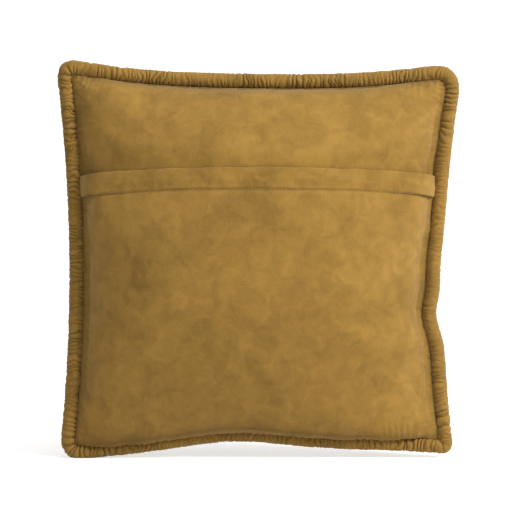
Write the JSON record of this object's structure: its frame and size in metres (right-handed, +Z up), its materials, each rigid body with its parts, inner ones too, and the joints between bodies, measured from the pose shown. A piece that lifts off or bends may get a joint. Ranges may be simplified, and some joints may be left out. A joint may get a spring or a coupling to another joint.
{
  "type": "throw pillow",
  "caption": "Square velvet throw pillow with fat gathered piping, and a lapped zip across its back that opens the cover round its filled insert.",
  "frame": {"origin": "middle of the bounding box's bottom, where the lowest corner of the piping stands", "axes": "+Z up along the pillow's height, +X across its width, -Y out of the back, which carries the zip, and +Y out of the front"},
  "size_m": [0.5004, 0.152, 0.4971],
  "materials": {
    "velvet": "matte",
    "piping_velvet": "matte",
    "thread": "satin",
    "cord": "matte",
    "zip_tape": "matte",
    "zip_coil": "satin",
    "zip_metal": "satin",
    "insert_cloth": "matte",
    "insert_fibre": "matte",
    "label": "satin"
  },
  "bodies": {
    "pillow": {"front_panel": "velvet", "back_upper_panel": "velvet", "back_lower_panel": "velvet", "placket_lap": "velvet", "piping_cover": "piping_velvet", "piping_cord": "cord", "perimeter_seam_thread": "thread", "seam_overlock_thread": "thread", "placket_topstitch_thread": "thread", "zip_upper_seam_thread": "thread", "zipper_upper_tape": "zip_tape", "zipper_lower_tape": "zip_tape", "zipper_upper_coil": "zip_coil", "zipper_lower_coil": "zip_coil", "zipper_top_stop_upper": "zip_metal", "zipper_top_stop_lower": "zip_metal", "zipper_bottom_stop": "zip_metal", "insert_front_shell": "insert_cloth", "insert_back_shell": "insert_cloth", "insert_filling": "insert_fibre", "insert_seam_thread": "thread", "care_label": "label"},
    "zip_slider": {"zipper_slider": "zip_metal"},
    "zip_pull": {"zipper_pull_tab": "zip_metal"}
  },
  "joints": [
    {"name": "zipper_travel", "type": "hinge", "parent": "pillow", "child": "zip_slider", "pos_m": [-0.00143, 0.4279, 0.27267], "axis": [0, 0.1564, 0.9877], "range_deg": [0, 41.9], "deforming": ["zipper_upper_coil", "zipper_lower_coil"]},
    {"name": "pull_tab_swing", "type": "hinge", "parent": "zip_slider", "child": "zip_pull", "pos_m": [-0.18233, -0.03825, 0.3465], "axis": [0, -0.1564, -0.9877], "range_deg": [0, 165], "deforming": ["placket_lap"]}
  ]
}
